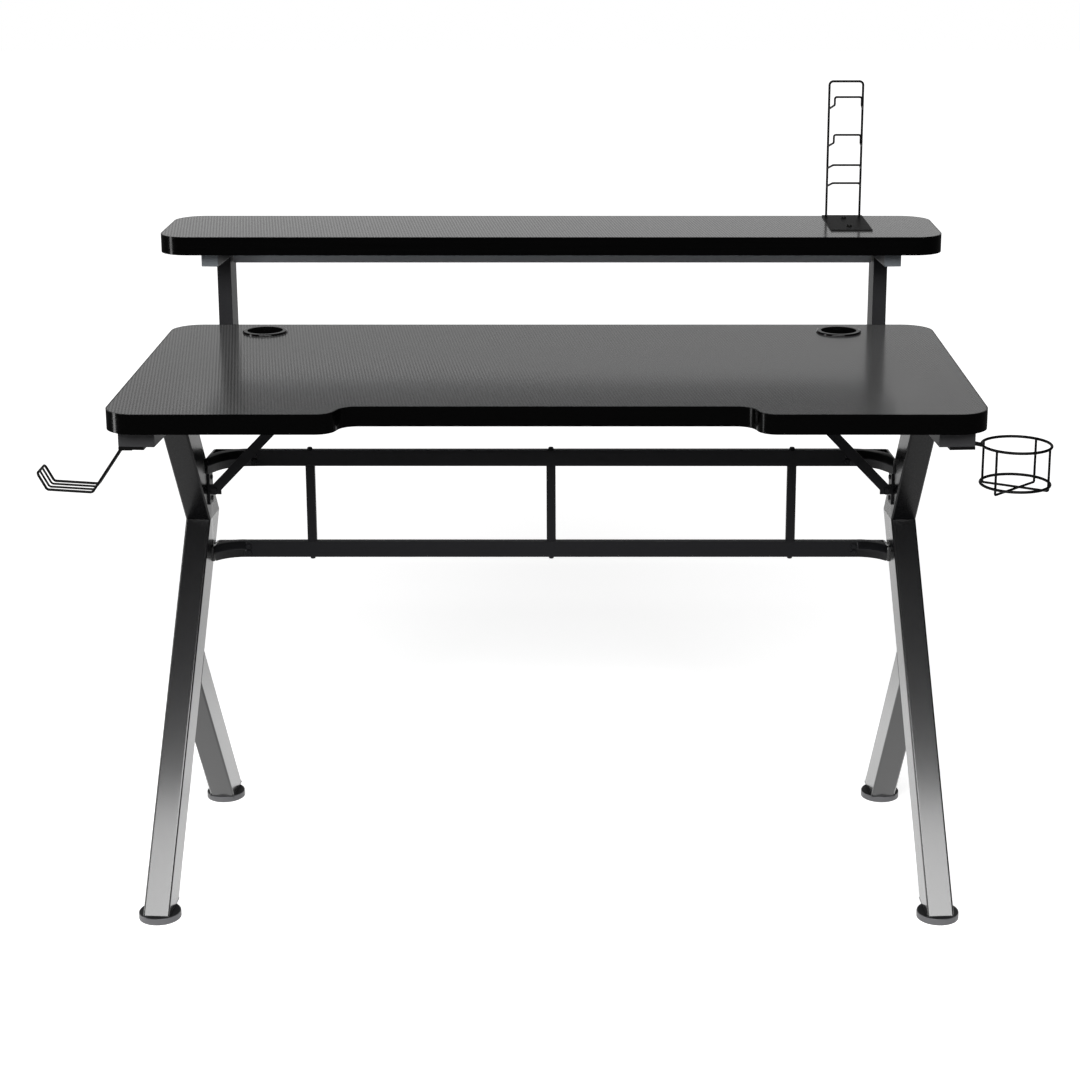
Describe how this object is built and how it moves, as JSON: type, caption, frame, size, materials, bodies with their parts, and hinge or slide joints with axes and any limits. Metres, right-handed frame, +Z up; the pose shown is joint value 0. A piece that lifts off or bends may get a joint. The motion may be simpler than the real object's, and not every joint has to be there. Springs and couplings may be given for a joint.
{
  "type": "gaming desk",
  "caption": "Gaming desk on K-shaped steel side frames, with a raised monitor shelf, cable grommets, wire headphone hook, wire cup holder and wire rack.",
  "frame": {"origin": "middle of the bounding box, on the floor", "axes": "+Z up, -Y towards the sitter (front edge with the recess), +X to the sitter's right (cup holder side)"},
  "size_m": [1.4, 0.6741, 1.131],
  "materials": {
    "board": "black fine twill pattern film, satin",
    "edge_band": "gloss black",
    "leg_paint": "dark grey semi-gloss powder coat",
    "frame_paint": "black satin powder coat",
    "wire_paint": "black semi-gloss powder coat",
    "gloss_black": "gloss black",
    "black_plastic": "satin",
    "foot_rubber": "matte",
    "zinc": "zinc plated"
  },
  "bodies": {
    "desk": {"desktop_panel": "board", "desktop_edge_band": "edge_band", "shelf_panel": "board", "shelf_edge_band": "edge_band", "left_side_rail": "frame_paint", "right_side_rail": "frame_paint", "side_rail_caps": "black_plastic", "left_upper_arm": "leg_paint", "right_upper_arm": "leg_paint", "left_front_leg": "leg_paint", "right_front_leg": "leg_paint", "left_rear_leg": "leg_paint", "right_rear_leg": "leg_paint", "front_left_leg_plug": "black_plastic", "front_right_leg_plug": "black_plastic", "rear_left_leg_plug": "black_plastic", "rear_right_leg_plug": "black_plastic", "upper_crossbar": "frame_paint", "lower_crossbar": "frame_paint", "left_strut": "frame_paint", "centre_strut": "frame_paint", "right_strut": "frame_paint", "strut_bolts": "frame_paint", "crossbar_bolts": "frame_paint", "left_brace": "frame_paint", "right_brace": "frame_paint", "left_brace_foot": "frame_paint", "right_brace_foot": "frame_paint", "left_brace_head": "frame_paint", "right_brace_head": "frame_paint", "brace_bolts": "frame_paint", "left_shelf_post": "frame_paint", "right_shelf_post": "frame_paint", "left_shelf_rail": "frame_paint", "right_shelf_rail": "frame_paint", "shelf_rail_caps": "black_plastic", "shelf_crossbar": "frame_paint", "post_bolts": "zinc", "desktop_screws": "zinc", "shelf_screws": "zinc", "left_grommet_liner": "gloss_black", "right_grommet_liner": "gloss_black", "hook_plate": "wire_paint", "headphone_hook": "wire_paint", "cup_holder_plate": "wire_paint", "cup_holder": "wire_paint", "accessory_screws": "frame_paint", "rack_base_plate": "wire_paint", "wire_rack": "wire_paint"},
    "front_left_foot": {"front_left_foot_pad": "foot_rubber", "front_left_foot_stem": "zinc"},
    "front_right_foot": {"front_right_foot_pad": "foot_rubber", "front_right_foot_stem": "zinc"},
    "rear_left_foot": {"rear_left_foot_pad": "foot_rubber", "rear_left_foot_stem": "zinc"},
    "rear_right_foot": {"rear_right_foot_pad": "foot_rubber", "rear_right_foot_stem": "zinc"},
    "left_grommet_lid": {"left_grommet_cap": "gloss_black"},
    "right_grommet_lid": {"right_grommet_cap": "gloss_black"}
  },
  "joints": [
    {"name": "front_left_foot_height", "type": "slide", "parent": "desk", "child": "front_left_foot", "axis": [0, 0, -1], "range_m": [0, 0.01]},
    {"name": "front_right_foot_height", "type": "slide", "parent": "desk", "child": "front_right_foot", "axis": [0, 0, -1], "range_m": [0, 0.01]},
    {"name": "rear_left_foot_height", "type": "slide", "parent": "desk", "child": "rear_left_foot", "axis": [0, 0, -1], "range_m": [0, 0.01]},
    {"name": "rear_right_foot_height", "type": "slide", "parent": "desk", "child": "rear_right_foot", "axis": [0, 0, -1], "range_m": [0, 0.01]},
    {"name": "left_grommet_turn", "type": "hinge", "parent": "desk", "child": "left_grommet_lid", "pos_m": [-0.45, 0.204, 0.75], "axis": [0, 0, 1], "continuous": true},
    {"name": "right_grommet_turn", "type": "hinge", "parent": "desk", "child": "right_grommet_lid", "pos_m": [0.45, 0.204, 0.75], "axis": [0, 0, 1], "continuous": true}
  ]
}
